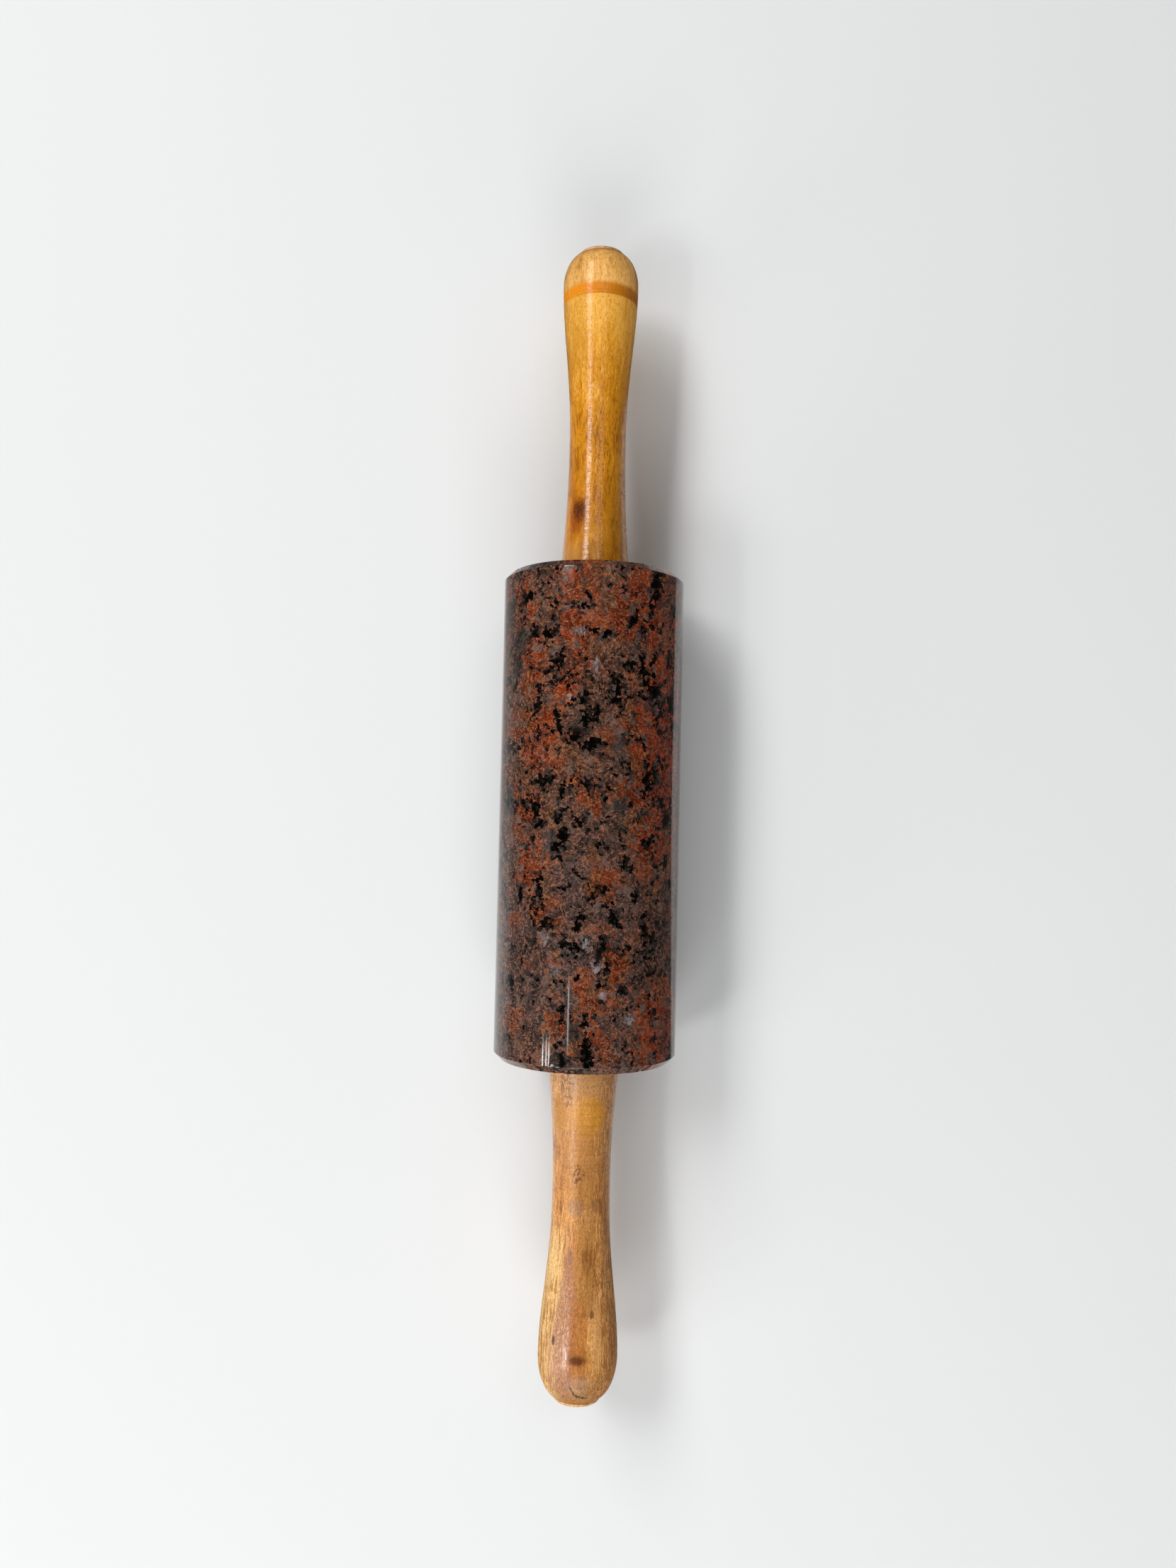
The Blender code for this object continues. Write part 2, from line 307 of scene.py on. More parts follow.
class Shader(Nodes):
    """One material: its Principled surface and the nodes that feed it."""

    def __init__(self, name, colour):
        self.material = bpy.data.materials.new(name)
        self.material.use_nodes = True
        self.material.diffuse_color = (*colour, 1.0)
        super().__init__(self.material.node_tree)
        self.surface = self.tree.nodes["Principled BSDF"]

    def set(self, **inputs):
        """Inputs of the Principled surface, by name with underscores for spaces."""
        for key, value in inputs.items():
            self.feed(self.surface.inputs[key.replace("_", " ")], value)

    def position(self):
        """Position in millimetres, with its origin on the axis at the middle of the barrel."""
        metres = self.node("ShaderNodeTexCoord", {}, {}, "Object")
        return (metres - (0.0, 0.0, AXIS_HEIGHT)) * MM_PER_METRE

    def vector(self, x, y, z):
        return self.node("ShaderNodeCombineXYZ", {}, {0: x, 1: y, 2: z})

    def turn(self, point):
        """Radians round the axis from the top, positive to the right: the arctangent of x over z."""
        x, _, z = point.parts()
        return self.node("ShaderNodeMath", {"operation": "ARCTAN2"}, {0: x, 1: z})

    def noise(self, point, scale, detail=2.0, roughness=0.5):
        """Cloudy noise from 0 to 1, about 0.5, with lumps of 1 / scale millimetres."""
        inputs = {"Vector": point, "Scale": scale, "Detail": detail, "Roughness": roughness}
        return self.node("ShaderNodeTexNoise", {}, inputs, 0)

    def noise3(self, point, scale, detail=2.0, roughness=0.5):
        """Three cloudy noises as a vector."""
        inputs = {"Vector": point, "Scale": scale, "Detail": detail, "Roughness": roughness}
        return self.node("ShaderNodeTexNoise", {}, inputs, 1)

    def cells(self, point, size):
        """Random grains of about the given size: each one's own random vector and its middle."""
        inputs = {"Vector": point * (1.0 / size), "Scale": 1.0}
        made = self.make("ShaderNodeTexVoronoi", {"feature": "F1"}, inputs)
        return Term(self, made.outputs["Color"]), Term(self, made.outputs["Position"]) * size

    def mix(self, share, first, second):
        """First colour where share is 0, second where it is 1."""
        # The node's sockets 6 and 7 and its output 2 are the colours
        return self.node("ShaderNodeMix", {"data_type": "RGBA"}, {0: share, 6: first, 7: second}, 2)

    def bump(self, height, distance):
        """Surface relief from a height that runs from 0 to 1 over the given distance in metres."""
        inputs = {"Strength": 1.0, "Distance": distance, "Height": height}
        self.set(Normal=self.node("ShaderNodeBump", {}, inputs))


# What shows on top of the barrel, listed one by one: distance along the axis in mm, turn from the top in
# degrees, length and width in mm, and the tilt of the length from the axis in degrees, clockwise as seen
# from outside
BLACK_CLUSTERS = [
    (68, -41, 9, 3.0, 50), (57, -35, 4, 4, 0), (57, -24, 4.5, 3.5, 70), (48, -18, 7, 4, 45),
    (68, 0, 5.5, 1.0, -40), (61, 28, 6, 2.0, 32), (56, 11, 3.6, 2.4, 60), (71, 21, 3, 1.2, 0),
    (73, 45, 11, 5, 10), (65, 41, 4.5, 2.2, 0), (46, 35, 12, 3.4, -13), (39, 43, 7, 6, 0),
    (37, 61, 7, 5, 0), (42, 18, 6.5, 3.2, -35), (36, 18, 7, 2.6, 75), (32, 8, 5, 2.2, 5),
    (36, -2, 4.5, 2.8, 15), (30, 0, 7.5, 3.2, 0), (24, -5, 4, 3.6, 0), (22, 3, 6, 3.2, 80),
    (29, -17, 8.5, 2.4, -12), (34, -31, 5.5, 3.0, 10), (12, 40, 13, 2.6, 3), (2, -31, 6, 3.4, -12),
    (-3, -28, 4, 3, 60), (7, -14, 5, 1.8, 5), (8, 16, 3, 2, 0), (-1, -15, 4, 3, 20), (-6, -12, 5, 3.6, 0),
    (-10, -16, 5, 3, 60), (-14, -14, 3, 2.6, 0), (-25, -42, 5, 2.8, 0), (-25, -27, 6, 2.4, 0),
    (-25, 6, 4.8, 2.8, 70), (-34, -21, 4.8, 4, 30), (-34, -3, 3.4, 2.2, 0), (-32, 20, 8, 2.8, -25),
    (-25, 33, 4.5, 3, -20), (-41, 12, 9, 2.8, 10), (-54, 25, 3.2, 3.2, 0), (-60, -11, 3.2, 3.2, 0),
    (-64, 3, 3.2, 3.2, 0), (-71, 5, 8, 2.4, 3), (-75, -11, 6, 4, 0), (-1, 58, 6, 6, 0),
    (-15, 59, 6, 2.6, 0),
]
SLATE_PATCHES = [
    (66, -58, 9, 5, 0), (55, -48, 10, 7, 0), (46, -50, 9, 6, 0), (22, 21, 6, 5, 0), (3, 22, 5, 5, 0),
    (3, -57, 8, 6, 0), (38, 44, 9, 8, 0), (-9, -20, 9, 4, 0), (-35, -31, 6, 3, 0), (-67, -2, 6, 4, 0),
]
PALE_PATCHES = [
    (57, -4, 4, 2.4, 70), (46, 6, 7, 2.2, -10), (37, -10, 2.5, 2, 0), (-38, -23, 4, 4, 0),
    (-48, -16, 4, 4, 0), (-40, 2, 6, 4, 0), (-46, 10, 4, 5, 0), (-56, 13, 3, 2.4, 0),
    (-63, 30, 2.4, 4, 0),
]
FINE_ZONES = [
    (-10, 20, 18, 22, 0), (-34, 45, 34, 24, 0), (-50, 40, 28, 20, 0), (-47, -34, 14, 12, 0),
    (10, -25, 16, 9, 0), (25, -8, 12, 14, 0), (-68, -30, 12, 12, 0), (75, 46, 14, 12, 0),
    (54, -54, 24, 12, 0),
]
RED_ZONES = [
    (66, -8, 20, 12, 15), (72, 34, 10, 8, 0), (60, 43, 14, 7, 0), (68, -42, 8, 6, 0),
    (46, -38, 16, 9, -15), (45, -10, 22, 7, 20), (24, -30, 16, 12, 10), (28, -42, 8, 6, 0),
    (20, 33, 26, 10, -8), (44, 48, 12, 8, 0), (30, 54, 40, 12, 0), (6, 54, 30, 14, 0),
    (-7, 48, 18, 14, 8), (18, 32, 22, 6, -8), (63, 22, 12, 7, 0), (1, -40, 14, 9, 0),
    (-17, -34, 14, 8, 0), (8, 3, 8, 6, 0), (-22, 10, 8, 6, 0), (-50, 21, 14, 7, 0), (-58, 8, 10, 9, 20),
    (-66, 54, 18, 14, 0), (-65, -16, 6, 6, 0), (-70, 8, 8, 8, 0), (-30, -22, 8, 7, 0),
]

# The feldspar's darkest shade, then those from brown to brick, rust and dark red, each with the value of
# kind at which it starts and is full
DARKEST_FELDSPAR = (0.070, 0.036, 0.025)
FELDSPAR_SHADES = [
    (0.00, 0.08, (0.110, 0.047, 0.030)),
    (0.18, 0.26, (0.155, 0.053, 0.028)),
    (0.32, 0.40, (0.195, 0.053, 0.022)),
    (0.50, 0.58, (0.215, 0.042, 0.011)),
    (0.70, 0.78, (0.205, 0.029, 0.005)),
    (0.98, 1.08, (0.150, 0.019, 0.003)),
]


def granite_material():
    """Polished red granite: red feldspar and grey quartz grown together, and jagged black mica.

    The position is bent by noise before it is cut into grains, so that no grain has a straight side.
    """
    s = Shader("polished_granite", (0.11, 0.045, 0.028))
    p = s.position()
    across, along, up = p.parts()
    wander = (s.noise3(p, 0.22, 2.0) - HALF) * 2.0 + (s.noise3(p, 0.9, 4.0, 0.75) - HALF) * 2.4
    q = p + wander
    on_top = (up / RADIUS_MM).step(0.1, 0.4)
    outside = -1.2

    def sheet_of(point):
        """A point on the barrel unrolled: millimetres round it from the top, and millimetres along it."""
        return s.vector(s.turn(point) * RADIUS_MM, point.parts()[1], 0.0)

    def near(marks, sheet):
        """1 in the middle of the nearest mark, 0 on its rim and down to -1.2 outside it and underneath.

        The offset from a mark's middle is turned by its tilt, and its parts are divided by half the width
        and half the length. How near the mark is, is 1 less the length of what that leaves.
        """
        least = None
        for at, angle, length, width, tilt in marks:
            offset = sheet - (math.radians(angle) * RADIUS_MM, float(at), 0.0)
            turned = s.node(
                "ShaderNodeVectorRotate",
                {"rotation_type": "Z_AXIS"},
                {"Vector": offset, "Angle": math.radians(tilt)},
            )
            away = (turned * (2.0 / width, 2.0 / length, 0.0)).size()
            least = away if least is None else least.lower(away)
        return (1.0 - least).higher(outside) * on_top + (1.0 - on_top) * outside

    # Grains of about 2 mm, each part of a host crystal of 5.5 mm, and bits of about 1 mm
    grain_size = 2.1
    grain, grain_middle = s.cells(q, grain_size)
    _, grain_y, grain_z = grain.parts()
    host, host_middle = s.cells(grain_middle, 5.5)
    host_x, host_y, _ = host.parts()
    bit, bit_middle = s.cells(q + (s.noise3(p, 2.2, 2.0) - HALF) * 0.9, 1.05)
    bit_x, bit_y, bit_z = bit.parts()
    sheet = sheet_of(q)
    bit_sheet = sheet_of(bit_middle)
    scaled = {"Vector": q * (1.0 / grain_size), "Scale": 1.0}
    seam = s.node("ShaderNodeTexVoronoi", {"feature": "DISTANCE_TO_EDGE"}, scaled)

    # Fibres that run one way in each host crystal, and fine mottling
    way = (host - HALF).unit()
    along_way = p.dot(way)
    fibres = s.noise(p - way * (along_way * 0.85) + wander * 0.3, 1.9, 3.0, 0.6)
    mottle = s.noise(q, 1.1, 3.0, 0.6)
    pepper = s.noise(q, 3.6, 2.0, 0.7)
    cloud = s.noise(p, 0.10, 2.0)

    # Each host crystal has its own shade of feldspar; its grains vary it, or its bits where it is fine
    fine = (near(FINE_ZONES, sheet) * 0.5 + (s.noise(p, 0.12, 2.0) - 0.5) * 2.0).step(0.0, 0.3)
    own = s.mix(fine, grain, bit).parts()[0]
    red = near(RED_ZONES, sheet_of(grain_middle))
    front = along.step(10.0, -30.0)
    kind = 0.52 + (host_x - 0.5) * 0.75 + (own - 0.5) * 0.30 + (cloud - 0.5) * 1.0 + (mottle - 0.5) * 0.5
    kind = kind + (red.higher(-1.0) + 0.35) * 0.60 - fine * 0.12 - front * 0.04
    colour = DARKEST_FELDSPAR
    for start, full, shade in FELDSPAR_SHADES:
        colour = s.mix(kind.step(start, full), colour, shade)
    ochre = s.noise(host_middle + (30.0, 0.0, 0.0), 0.20, 2.0).step(0.57, 0.63)
    colour = s.mix(ochre * 0.35, colour, (0.200, 0.072, 0.015))

    # Light and dark fibres, grains and seams, and greyer in front
    colour = colour * s.mix(front, (1.0, 1.0, 1.0), (0.92, 1.14, 1.50))
    light = 0.88 + front * 0.05 + (fibres - 0.5) * 1.9 + (mottle - 0.5) * 1.7
    light = light + (pepper - 0.5) * 1.9 + (bit_y - 0.5) * 0.3
    light = light + (grain_y - 0.5) * 0.45 + (host_y - 0.5) * 0.35
    light = light * (1.0 - fine * 0.25) + (s.noise(p, 0.16, 2.0) - 0.5) * 0.4
    colour = colour * (light * (0.62 + seam.step(0.0, 0.10) * 0.38)).higher(0.08)
    # Painted shade darkens the left side, and painted light makes the right side lighter and redder
    painted_shading_side = across / RADIUS_MM
    colour = colour * (1.0 - painted_shading_side.step(-0.42, -0.80) * 0.30)
    colour = colour * s.mix(painted_shading_side.step(0.45, 0.75), (1.0, 1.0, 1.0), (1.30, 1.02, 0.90))

    # Pale wisps, dark cracks, grey quartz and lilac patches
    ridge = s.noise(p - way * (along_way * 0.7) + wander * 0.4, 1.1, 2.0, 0.6) - 0.5
    wisps = (ridge * ridge).step(0.0035, 0.0) * mottle.step(0.42, 0.52)
    colour = s.mix(wisps * 0.6, colour, (0.420, 0.190, 0.115))
    crack = s.noise(p - way * (along_way * 0.5) + wander * 0.4 + (40.0, 0.0, 0.0), 0.45, 2.0, 0.6) - 0.5
    colour = colour * (1.0 - (crack * crack).step(0.0003, 0.0) * 0.6)
    quartz = (s.noise(grain_middle, 0.30, 2.0) + (grain_z - 0.5) * 0.20).step(0.60, 0.62)
    grey = s.mix(light.step(0.2, 1.4), (0.020, 0.012, 0.009), (0.170, 0.105, 0.082))
    colour = s.mix(quartz * 0.8, colour, grey)
    pale = near(PALE_PATCHES, bit_sheet) * 0.5 + (bit_z - 0.5) * 0.5 + (mottle - 0.5) * 0.6
    lilac = s.mix(light.step(0.5, 1.4), (0.120, 0.090, 0.086), (0.340, 0.290, 0.290))
    colour = s.mix(pale.step(-0.02, 0.12) * 0.85, colour, lilac)

    # Slate and black mica in angular bits: in the listed marks, and loose where the noise is high
    jag = (s.noise(bit_middle, 0.35, 2.0, 0.6) - 0.5) * 1.6 + (bit_z - 0.5) * 1.2 + (mottle - 0.5) * 1.2
    loose = (s.noise(bit_middle, 0.16, 2.0) - 0.5) * 3.4 - 0.34 - on_top * 0.06
    black_near = near(BLACK_CLUSTERS, bit_sheet)
    slate_near = near(SLATE_PATCHES, bit_sheet) * 1.2 + 0.25
    slate_score = slate_near.higher(loose + 0.21).higher(black_near * 0.7 + 0.30) + jag
    slate = s.mix(light.step(0.3, 1.5), (0.006, 0.006, 0.005), (0.060, 0.055, 0.051))
    colour = s.mix(slate_score.step(0.10, 0.20) * 0.85, colour, slate)
    black_score = (black_near * 1.2 + 0.08).higher(loose) + jag
    mica = s.mix(bit_x.step(0.80, 0.96), (0.0008, 0.0006, 0.0004), (0.014, 0.010, 0.008))
    colour = s.mix(black_score.step(0.12, 0.24), colour, mica)

    s.set(Base_Color=colour, Roughness=0.07, IOR=1.46)
    return s.material


def away_from(along, turn, at, angle, length, width):
    """How far a point is from the middle of an oval mark: 0 in its middle and 1 on its rim.

    It is the root of the squares of the offsets round and along, each over half the mark's size that way.
    The angle and the width are in degrees, the place along and the length in millimetres.
    """
    across = (turn - angle) * (2.0 / width)
    down = (along - at) * (2.0 / length)
    return (across * across + down * down) ** 0.5


def rear_wood_material():
    """Glossy amber varnish on wood: short dark flecks, a knot near the root and a ring near the end.

    Places along it are in millimetres from the root, and turns in degrees from the top.
    """
    s = Shader("amber_varnished_wood", (0.56, 0.25, 0.045))
    p = s.position()
    x, y, z = p.parts()
    along = y - ROOT_MM
    turn = s.turn(p) * math.degrees(1.0)
    wander = (s.noise3(p, 0.13, 2.0) - HALF) * 2.4
    grain_point = s.vector(x, y * 0.13, z) + wander * (1.0, 0.15, 1.0)
    figure = s.noise(grain_point, 0.45, 4.0, 0.62)
    streaks = s.noise(grain_point, 1.6, 3.0, 0.6)
    cloud = s.noise(p, 0.07, 2.0)
    upper = z.step(-10.0, 3.0)
    dash_point = s.vector(x, y * 0.20, z) + wander * (0.8, 0.2, 0.8)
    many = along.step(14.0, 34.0) * along.step(78.0, 56.0)
    dashes = (s.noise(dash_point, 2.7, 1.0, 0.5) + many * 0.035 - 0.015).step(0.60, 0.70)
    fine_dashes = s.noise(dash_point + (9.0, 0.0, 0.0), 4.6, 1.0, 0.5).step(0.58, 0.68)

    # Amber, honey on the bulb and peach on the dome, redder on the left of the neck and olive on its
    # right, and dark flecks over all of it
    tone = (figure - 0.5) * 1.3 + (streaks - 0.5) * 1.3 + (cloud - 0.5) * 0.9 + along * 0.0035 + 0.31
    colour = s.mix(tone.step(0.05, 0.50), (0.365, 0.120, 0.001), (0.670, 0.257, 0.008))
    colour = s.mix(tone.step(0.50, 0.95), colour, (0.870, 0.400, 0.050))
    honey = s.mix(tone.step(0.2, 0.8), (0.820, 0.340, 0.020), (1.000, 0.500, 0.080))
    colour = s.mix(along.step(60.0, 84.0) * 0.8, colour, honey)
    peach = s.mix(tone.step(0.2, 0.9), (0.640, 0.260, 0.040), (1.000, 0.530, 0.140))
    colour = s.mix(along.step(90.0, 95.0), colour, peach)
    reddish = along.step(46.0, 12.0) * along.step(1.0, 11.0) * turn.step(6.0, -40.0) * upper
    colour = s.mix(reddish * 0.36, colour, (0.430, 0.110, 0.006))
    olive = along.step(34.0, 24.0) * turn.step(0.0, 14.0) * upper
    colour = s.mix(olive * 0.25, colour, (0.340, 0.115, 0.002))
    # Painted shade: the top of the swell is darker on its left
    colour = colour * (1.0 - along.step(48.0, 74.0) * turn.step(-4.0, -30.0) * upper * 0.20)
    colour = s.mix(dashes * (0.30 + many * 0.30), colour, (0.250, 0.070, 0.003))
    colour = s.mix(fine_dashes * 0.40, colour, (0.300, 0.095, 0.005))
    fleck = s.noise(s.vector(x, y * 0.5, z), 3.4, 2.0, 0.6)
    colour = colour * (1.0 + (fleck - 0.5) * 0.7)

    # The knot, dark in its middle, with a red halo that trails towards the root
    rough_edge = (figure - 0.5) * 1.6
    halo = away_from(along, turn, 16.5, -35.0, 17.0, 34.0) + rough_edge
    colour = s.mix(halo.step(1.15, 0.35) * 0.75, colour, (0.300, 0.060, 0.004))
    knot = away_from(along, turn, 18.6, -31.0, 8.4, 27.0) + rough_edge * 0.6 + (fleck - 0.5) * 1.2
    colour = s.mix(knot.step(1.15, 0.90) * 0.75, colour, (0.200, 0.045, 0.003))
    swirl = (s.noise(p, 1.3, 2.0, 0.7) - 0.5) * 3.0
    colour = s.mix((knot + swirl).step(0.80, 0.45) * 0.80, colour, (0.070, 0.017, 0.003))
    corner = along.step(10.0, 4.0) * turn.step(-12.0, -34.0) * upper
    colour = s.mix(corner * 0.55, colour, (0.800, 0.370, 0.095))

    # The stained ring: a soft outer edge and a crisp inner edge with two dark lines
    wavy = along + (cloud - 0.5) * 0.8 + (streaks - 0.5) * 0.5
    ring = along.step(89.4, 90.0) * wavy.step(94.4, 92.6)
    # Painted shade darkens the ring's stain towards the right
    ring_stain_and_shade = s.mix(turn.step(-25.0, 65.0) * upper, (0.780, 0.240, 0.000), (0.460, 0.120, 0.000))
    colour = s.mix(ring * 0.88, colour, ring_stain_and_shade * (0.75 + streaks * 0.5))
    for line, depth in ((89.8, 0.30), (91.0, 0.15)):
        cut = (along - line) * (along - line)
        dark_line = cut.step(0.10, 0.01) * depth * turn.step(-75.0, -15.0) * upper
        colour = s.mix(dark_line, colour, (0.290, 0.080, 0.002))

    # A darker orange rim round the plug, and a paler root
    colour = s.mix(along.step(104.8, 106.0) * 0.6, colour, (0.480, 0.150, 0.012))
    colour = colour * (1.0 + along.step(40.0, 10.0) * 0.14)

    # The sheen: rings left by turning, which break up the varnish's highlight most near the root
    rings = s.noise(s.vector(x * 0.04, y, z * 0.04), 1.7, 3.0, 0.7)
    dome = along.step(84.0, 96.0)
    roughness = 0.21 + dashes * 0.15 + (rings - 0.5) * 0.24 + knot.step(1.0, 0.6) * 0.1
    roughness = roughness + dome * 0.10 + (streaks - 0.5) * 0.16
    ringed = 0.60 + along.step(66.0, 40.0) * 0.70
    ridges = s.noise(s.vector(x * 0.08, y, z * 0.08), 4.4, 2.0, 0.6).step(0.34, 0.64)
    coat = (ridges * (0.3 + ringed * 0.5) + 0.12) * (1.0 - dashes * 0.6) * (fleck * 2.2 - 0.1)
    coat = coat * (1.0 - ring * 0.5)
    s.set(Base_Color=colour, Roughness=roughness, IOR=1.5, Specular_IOR_Level=0.10)
    s.set(Coat_Weight=coat, Coat_Roughness=0.20, Coat_IOR=1.5)
    relief = rings * ringed + fleck * 0.9 - dashes * 0.6 - fine_dashes * 0.4 + streaks * 0.35
    s.bump(relief, 0.00010)
    return s.material


def front_wood_material():
    """Satin tan varnish worn by use: dark wavy grain at the sides, stains, a smear and a crack.

    Places along it are in millimetres from the root, and turns in degrees from the top.
    """
    s = Shader("tan_worn_wood", (0.50, 0.24, 0.09))
    p = s.position()
    x, y, z = p.parts()
    along = y * -1.0 - ROOT_MM
    turn = s.turn(p) * math.degrees(1.0)
    wander = (s.noise3(p, 0.12, 2.0) - HALF) * 2.2
    grain_point = s.vector(x, y * 0.09, z) + wander * (1.0, 0.12, 1.0)
    figure = s.noise(grain_point, 0.42, 4.0, 0.62)
    streaks = s.noise(grain_point, 1.7, 3.0, 0.65)
    cloud = s.noise(p, 0.07, 2.0)
    pore_point = s.vector(x, y * 0.22, z) + wander * (0.8, 0.2, 0.8)
    pores = s.noise(pore_point, 2.8, 1.0, 0.5).step(0.60, 0.68)
    side = (turn * turn).step(250.0, 1700.0)
    # The top of the left side, which gets painted light below
    left = turn.step(-14.0, -34.0) * z.step(-10.0, 3.0)

    # Tan, with painted light: a lighter cream stripe down the left of the bulb, where the lamps fall
    tone = (figure - 0.5) * 1.5 + (streaks - 0.5) * (1.0 + side * 1.5) + (cloud - 0.5) * 0.9 + 0.50
    colour = s.mix(tone.step(0.0, 0.50), (0.360, 0.135, 0.030), (0.720, 0.315, 0.082))
    colour = s.mix(tone.step(0.50, 1.0), colour, (0.920, 0.480, 0.165))
    painted_light_cream = s.mix(tone.step(0.05, 0.60), (0.520, 0.235, 0.060), (1.000, 0.640, 0.260))
    colour = s.mix(left * along.step(46.0, 60.0) * 0.85, colour, painted_light_cream)

    # Lines of dark grain, which crowd the sides and are washed out on the left by painted light
    line_point = s.vector(x, y * 0.05, z) + wander * (1.3, 0.1, 1.3)
    ridge = s.noise(line_point, 1.5, 3.0, 0.6) - 0.5
    lines = (ridge * ridge).step(0.0030, 0.0003) * (side * 0.80 + 0.18)
    colour = s.mix(lines * (0.70 - left * 0.35), colour, (0.240, 0.080, 0.020))

    # A darker stripe just right of the top, a darker dome, and pores
    stripe = (turn - 14.0) * (1.0 / 22.0)
    striped = (stripe * stripe).step(1.0, 0.2) * along.step(22.0, 34.0) * along.step(84.0, 72.0)
    colour = colour * (1.0 - striped * 0.28)
    domed = along.step(92.0, 100.0) * turn.step(-55.0, -25.0) * turn.step(60.0, 10.0)
    colour = colour * (1.0 - domed * 0.46)
    fleck = s.noise(s.vector(x, y * 0.45, z), 3.2, 2.0, 0.6)
    speckled = along.step(14.0, 24.0) * along.step(56.0, 44.0)
    colour = s.mix(pores * (0.40 + speckled * 0.35), colour, (0.240, 0.085, 0.022))

    def blot(at, angle, length, width, reach, strength, shade, ragged=0.8):
        """Lay an oval mark over the colour; reach is how soft its rim is, and ragged how uneven."""
        oval = away_from(along, turn, at, angle, length, width)
        oval = oval + (figure - 0.5) * ragged + (streaks - 0.5) * ragged * 0.6
        return s.mix(oval.step(1.0 + reach, 1.0 - reach) * strength, colour, shade)

    # Stains from the root to the neck
    colour = blot(3.0, 12.0, 16.0, 70.0, 0.3, 0.45, (0.600, 0.315, 0.130))
    colour = blot(15.0, 12.0, 13.5, 66.0, 0.3, 0.80, (0.660, 0.275, 0.022), 0.4)
    colour = blot(14.5, -44.0, 12.0, 34.0, 0.3, 0.85, (0.520, 0.210, 0.016), 0.5)
    colour = blot(30.0, 10.0, 24.0, 130.0, 0.5, 0.55, (0.400, 0.165, 0.036))
    pitted = away_from(along, turn, 5.5, -25.0, 15.0, 26.0).step(1.15, 0.75)
    pits = s.noise(pore_point * (1.0, 1.6, 1.0), 2.2, 1.0, 0.5).step(0.50, 0.60)
    colour = s.mix(pitted * pits * 0.8, colour, (0.210, 0.085, 0.034))
    bitty = s.noise(s.vector(x, y * 0.7, z), 1.5, 1.0, 0.5).step(0.49, 0.55)
    colour = blot(33.4, -2.0, 5.5, 24.0, 0.30, 0.8 * bitty, (0.120, 0.040, 0.012), 1.0)
    colour = blot(35.0, -8.0, 3.0, 9.0, 0.30, 0.7 * bitty, (0.140, 0.050, 0.015), 1.0)
    colour = blot(44.2, -7.0, 6.0, 34.0, 0.35, 0.45, (0.300, 0.170, 0.105), 1.2)
    colour = blot(43.5, 36.0, 5.0, 24.0, 0.35, 0.5, (0.210, 0.090, 0.035), 1.2)

    # The swell: a pinkish band, flecks of painted highlight, an orange streak of painted light, small
    # marks, the smear and the crack
    colour = blot(81.0, -17.0, 46.0, 34.0, 0.35, 0.70, (0.370, 0.155, 0.085), 0.6)
    colour = blot(92.0, -34.0, 24.0, 26.0, 0.50, 0.50, (0.500, 0.235, 0.115), 0.6)
    # Pale flecks on the top-left of the bulb, where the sheen shows: painted highlight
    painted_highlight_flecks = s.noise(s.vector(x, y * 0.6, z), 1.9, 2.0, 0.6).step(0.50, 0.62)
    colour = blot(84.0, -20.0, 34.0, 30.0, 0.35, 0.35 * painted_highlight_flecks, (0.820, 0.560, 0.420), 0.6)
    colour = blot(85.0, 3.0, 24.0, 26.0, 0.40, 0.70, (0.430, 0.140, 0.026), 0.8)
    # A lighter orange streak on the right of the bulb: painted light
    colour = blot(84.0, 32.0, 20.0, 16.0, 0.50, 0.55, (0.880, 0.450, 0.160), 0.8)
    colour = blot(77.1, 24.0, 2.6, 8.0, 0.25, 0.75, (0.150, 0.060, 0.020), 1.6)
    colour = blot(77.4, 12.0, 1.4, 18.0, 0.40, 0.35, (0.250, 0.100, 0.030), 1.2)
    colour = blot(85.9, -35.0, 3.6, 6.0, 0.25, 0.85, (0.060, 0.022, 0.008), 1.8)
    colour = blot(89.5, 8.0, 6.0, 42.0, 0.60, 0.35, (0.320, 0.110, 0.022), 0.6)
    colour = blot(91.0, 2.0, 3.0, 24.0, 0.60, 0.85, (0.095, 0.022, 0.005), 0.4)
    steep = (1.0 - (turn + 7.0) * (1.0 / 30.0)).higher(0.0) ** 4.0
    jagged = (streaks - 0.5) * 1.6 + (s.noise(p, 1.3, 2.0, 0.6) - 0.5) * 1.4
    bend = (along - 103.4 + steep * 4.0 - jagged) / (1.0 + steep * 1.5)
    crack = (bend * bend).step(0.13, 0.01) * turn.step(-8.5, -6.5) * turn.step(26.0, 18.0)
    colour = s.mix(crack * 0.9, colour, (0.040, 0.017, 0.008))

    # Rings left by turning, strongest near the root, flecks, and a pebbled bulb with a darker rim
    rings = s.noise(s.vector(x * 0.04, y, z * 0.04), 1.9, 3.0, 0.7)
    worn = along.step(60.0, 25.0)
    colour = colour * (1.0 + (rings - 0.5) * (worn * 0.6 + 0.12) + (fleck - 0.5) * 1.5)
    pebble = s.noise(s.vector(x, y * 0.5, z), 1.6, 3.0, 0.7)
    colour = colour * (1.0 + along.step(58.0, 72.0) * (1.0 - side) * (pebble - 0.5) * 1.5)
    colour = s.mix(along.step(104.6, 106.0) * 0.6, colour, (0.480, 0.170, 0.024))

